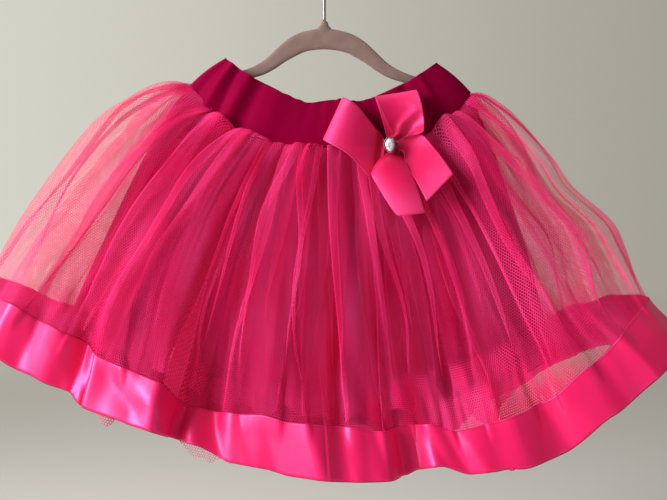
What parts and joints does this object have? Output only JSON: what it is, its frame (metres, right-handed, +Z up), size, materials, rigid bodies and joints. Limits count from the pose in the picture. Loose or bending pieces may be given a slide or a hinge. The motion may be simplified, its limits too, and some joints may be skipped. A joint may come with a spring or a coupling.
{
  "type": "tulle skirt on hanger",
  "caption": "Child's gathered tulle skirt with elastic waistband, lining, satin-ribbon hem and bow with a stone, hung by its band on a small flocked hanger with a steel hook.",
  "frame": {"origin": "inside top of the hanger hook's crook, where it rests on a rail", "axes": "+X along the hanger's bar towards the viewer's right, +Y from the front of the skirt to its back, +Z up"},
  "size_m": [0.664, 0.2266, 0.474],
  "materials": {
    "band": "smooth elastic jersey",
    "net": "sheer hexagonal nylon net",
    "lining": "soft satin lining",
    "ribbon": "glossy satin ribbon",
    "stone": "faceted clear stone",
    "setting": "polished prongs",
    "flock": "dusty-rose flock",
    "hook_wire": "polished wire"
  },
  "bodies": {
    "root": {"waistband": "band", "outer_net": "net", "inner_net": "net", "lining": "lining", "hem_ribbon": "ribbon", "bow_left_loop": "ribbon", "bow_right_loop": "ribbon", "bow_right_tail": "ribbon", "bow_lower_tail": "ribbon", "bow_knot": "ribbon", "stone": "stone", "stone_setting": "setting", "hanger_bar": "flock", "hanger_hook": "hook_wire"}
  },
  "joints": []
}
